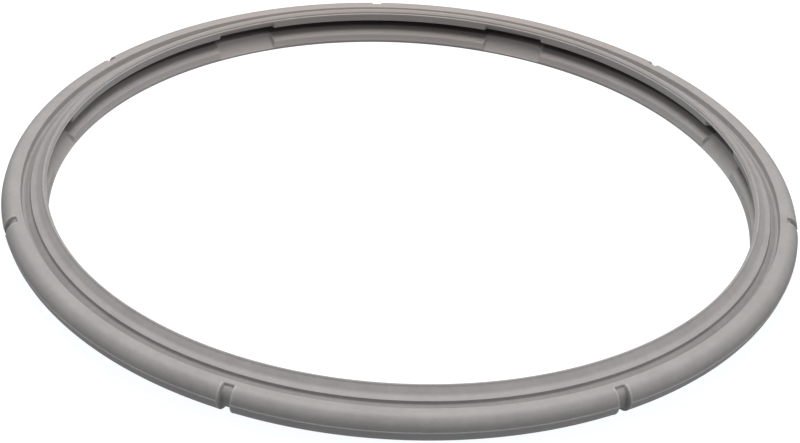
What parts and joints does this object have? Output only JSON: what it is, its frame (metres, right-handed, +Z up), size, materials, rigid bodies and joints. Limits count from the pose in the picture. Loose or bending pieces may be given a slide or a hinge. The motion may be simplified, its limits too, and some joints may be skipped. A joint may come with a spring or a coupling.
{
  "type": "pressure cooker sealing ring",
  "caption": "Flexible grey sealing ring with an inward-facing channel between two lips, cut-away windows in the lips and shallow notches across its round outer bead.",
  "frame": {"origin": "on the ring's axis, level with the flat foot under the lower lip", "axes": "+Z up along the ring's axis, from the pot towards the lid; -Y runs through the middle of a window and +Y through a notch"},
  "size_m": [0.237, 0.237, 0.0126],
  "materials": {
    "silicone": "satin"
  },
  "bodies": {
    "root": {"sealing_ring": "silicone"}
  },
  "joints": []
}
